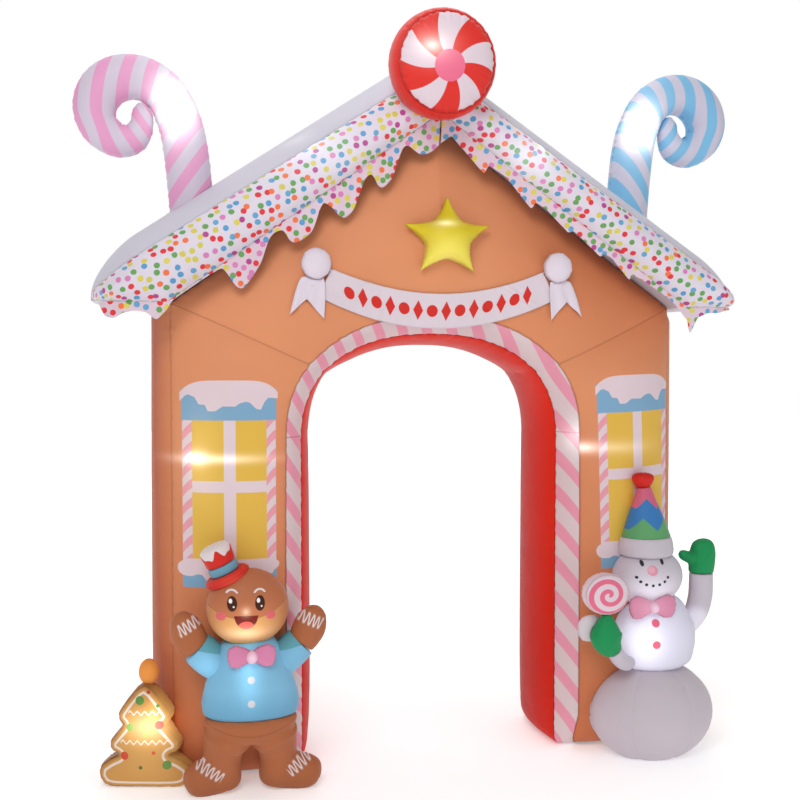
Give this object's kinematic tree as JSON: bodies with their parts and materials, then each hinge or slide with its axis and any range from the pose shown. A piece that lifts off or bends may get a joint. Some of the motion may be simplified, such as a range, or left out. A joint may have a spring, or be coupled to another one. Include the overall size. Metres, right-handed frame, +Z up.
{
  "type": "inflatable arch",
  "caption": "Air-filled archway shaped like a gingerbread house front, with roof, candy canes, star, banner, gingerbread man, snowman and tree.",
  "frame": {"origin": "on the floor, under the middle of the arch's overall width and depth", "axes": "+Z up, -Y out of the decorated front, +X to the right of someone who faces that front"},
  "size_m": [2.5274, 0.8628, 2.6931],
  "materials": {
    "ball_orange": "woven polyester, slight sheen",
    "band_pink": "woven polyester, slight sheen",
    "banner_white": "woven polyester, slight sheen",
    "biscuit": "woven polyester, slight sheen",
    "bow_knot": "woven polyester, slight sheen",
    "bow_pink": "woven polyester, slight sheen",
    "cane_blue": "woven polyester, slight sheen",
    "cane_pink": "woven polyester, slight sheen",
    "cone": "woven polyester, slight sheen",
    "hat_red": "woven polyester, slight sheen",
    "hat_teal": "woven polyester, slight sheen",
    "icing": "woven polyester, slight sheen",
    "lollipop": "woven polyester, slight sheen",
    "man_biscuit": "woven polyester, slight sheen",
    "mitten_green": "woven polyester, slight sheen",
    "red": "woven polyester, slight sheen",
    "snow_white": "woven polyester, slight sheen",
    "sprinkle_cloth": "woven polyester, slight sheen",
    "star_yellow": "woven polyester, slight sheen",
    "sweet_red": "woven polyester, slight sheen",
    "tree_gold": "woven polyester, slight sheen",
    "vest_blue": "woven polyester, slight sheen",
    "wrapper": "woven polyester, slight sheen"
  },
  "bodies": {
    "root": {"house_body": "biscuit", "door_lining": "red", "door_band": "band_pink", "roof_left": "icing", "drip_left": "sprinkle_cloth", "roof_right": "icing", "drip_right": "sprinkle_cloth", "mint_sweet": "sweet_red", "cane_pink": "cane_pink", "cane_blue": "cane_blue", "star": "star_yellow", "banner_knot_left": "banner_white", "banner_knot_right": "banner_white", "banner": "banner_white", "banner_tail_left": "banner_white", "banner_tail_right": "banner_white", "man_vest": "vest_blue", "man_legs": "man_biscuit", "man_head": "man_biscuit", "man_sleeve_left": "vest_blue", "man_hand_left": "man_biscuit", "man_sleeve_right": "vest_blue", "man_hand_right": "man_biscuit", "man_hat_brim": "hat_red", "man_hat_band": "hat_teal", "man_hat_crown": "hat_red", "man_bow": "bow_pink", "man_bow_knot": "bow_knot", "snow_ball": "snow_white", "snow_torso": "snow_white", "snow_head": "snow_white", "snow_hat_band": "snow_white", "snow_hat_cone": "cone", "snow_hat_tuft": "hat_red", "snow_arm_right": "snow_white", "snow_mitten_right": "mitten_green", "snow_arm_left": "snow_white", "snow_mitten_left": "mitten_green", "lollipop": "lollipop", "lollipop_wrap": "wrapper", "snow_bow": "bow_pink", "snow_bow_knot": "bow_knot", "tree": "tree_gold", "tree_ball": "ball_orange"}
  },
  "joints": []
}
